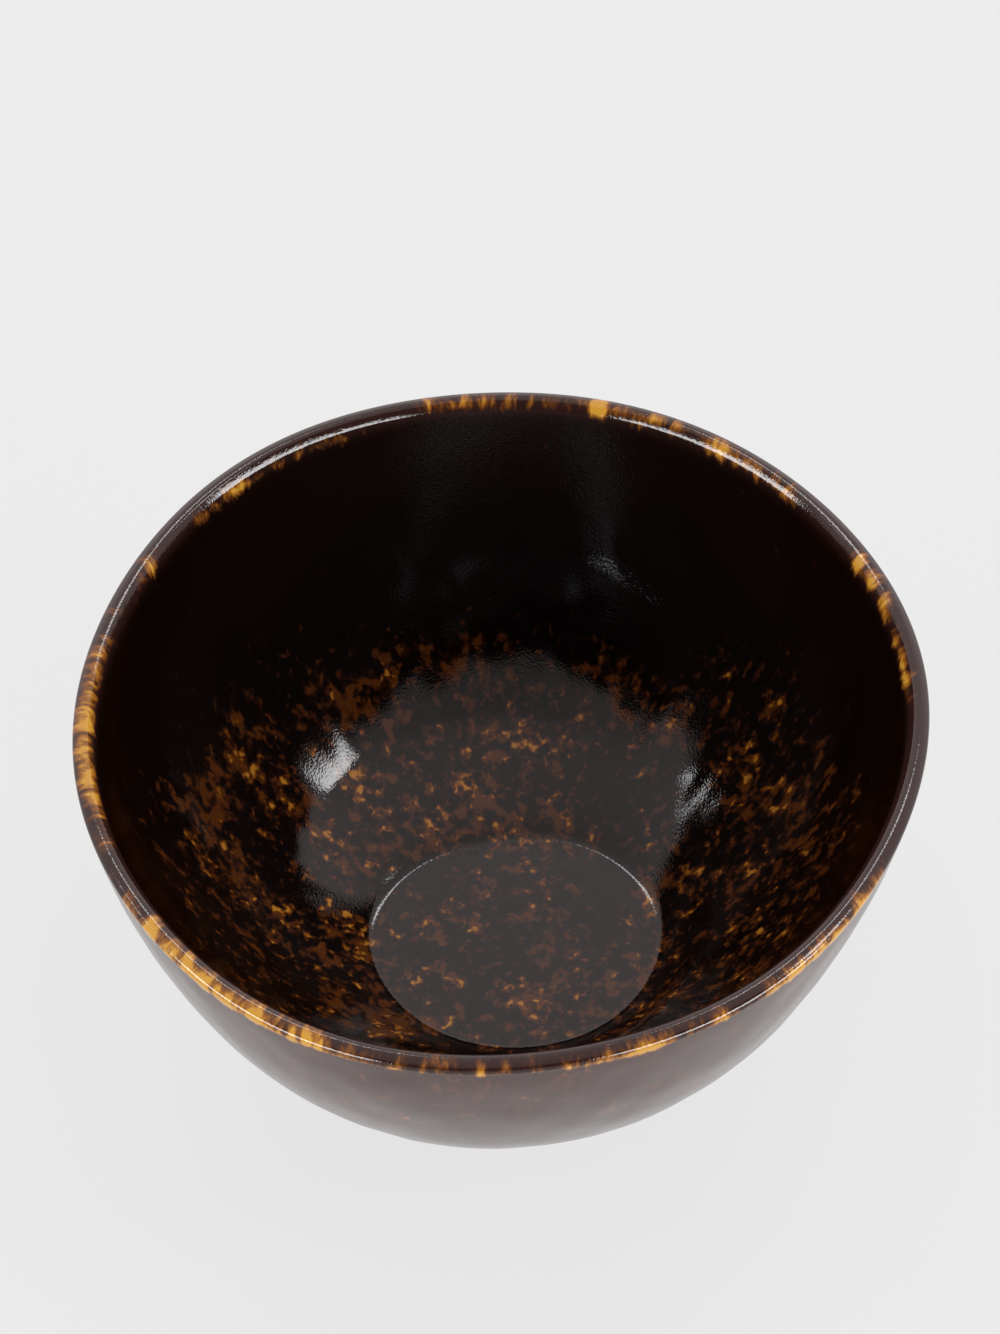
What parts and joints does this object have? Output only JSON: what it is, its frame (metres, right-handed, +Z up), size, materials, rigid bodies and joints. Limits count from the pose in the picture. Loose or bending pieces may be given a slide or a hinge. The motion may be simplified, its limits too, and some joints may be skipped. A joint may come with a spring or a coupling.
{
  "type": "matcha bowl",
  "caption": "Hand-formed stoneware matcha bowl with a deep rounded wall, softly uneven lip, low foot ring and glossy speckled glaze.",
  "frame": {"origin": "centre of the foot ring's contact face, on the table", "axes": "+Z up out of the bowl's mouth, +X to the right and -Y towards the near side of the bowl"},
  "size_m": [0.1201, 0.1201, 0.0646],
  "materials": {
    "stoneware": "fired stoneware clay, matt",
    "bare_foot": "fired stoneware clay, matt, wiped smooth",
    "brown_glaze": "gloss iron glaze, brown-black",
    "amber_lip_glaze": "gloss glaze breaking amber over the lip",
    "speckled_glaze": "gloss black-brown glaze with amber speckle"
  },
  "bodies": {
    "root": {"stoneware_body": "stoneware", "foot_ring": "bare_foot", "outside_glaze": "brown_glaze", "lip_glaze": "amber_lip_glaze", "inside_glaze": "speckled_glaze", "recess_glaze": "brown_glaze"}
  },
  "joints": []
}
